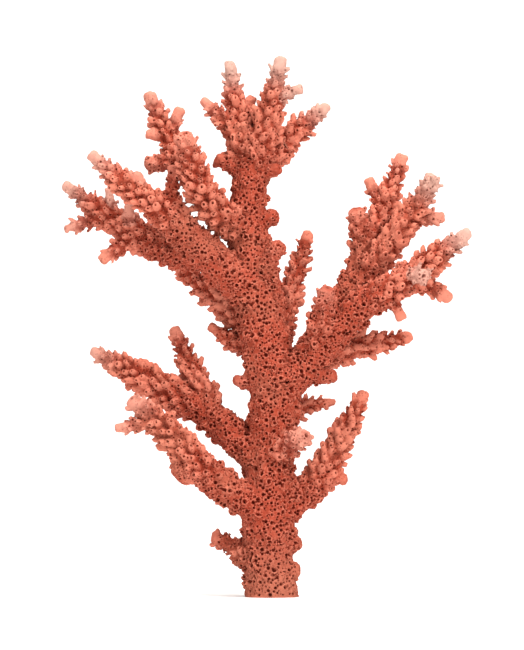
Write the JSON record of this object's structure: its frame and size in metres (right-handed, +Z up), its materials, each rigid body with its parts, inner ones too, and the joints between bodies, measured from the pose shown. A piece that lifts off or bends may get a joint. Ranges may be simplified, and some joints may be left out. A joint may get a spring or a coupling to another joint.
{
  "type": "branching coral",
  "caption": "Branching staghorn-type coral skeleton: a stout pitted stem, cup-studded branches and pale blunt tips, cut flat at the foot so that it stands as an ornament.",
  "frame": {"origin": "middle of the flat cut at the foot", "axes": "+Z up along the stem, -Y towards the viewer of the picture, +X to that viewer's right"},
  "size_m": [0.1232, 0.0393, 0.1622],
  "materials": {
    "old_growth": "matte, pitted",
    "young_growth": "matte, cup-studded"
  },
  "bodies": {
    "root": {"trunk": "old_growth", "top_stem": "old_growth", "top_right_branch": "young_growth", "left_upper_branch": "old_growth", "left_upper_twig": "young_growth", "left_crown_upper": "old_growth", "left_crown_lower": "young_growth", "back_left_branch": "old_growth", "back_branch": "old_growth", "right_limb": "old_growth", "right_upper_branch": "old_growth", "right_upper_twig": "young_growth", "right_low_branch": "young_growth", "middle_left_branch": "old_growth", "middle_left_twig": "young_growth", "lower_left_branch": "old_growth", "lower_right_branch": "young_growth"}
  },
  "joints": []
}
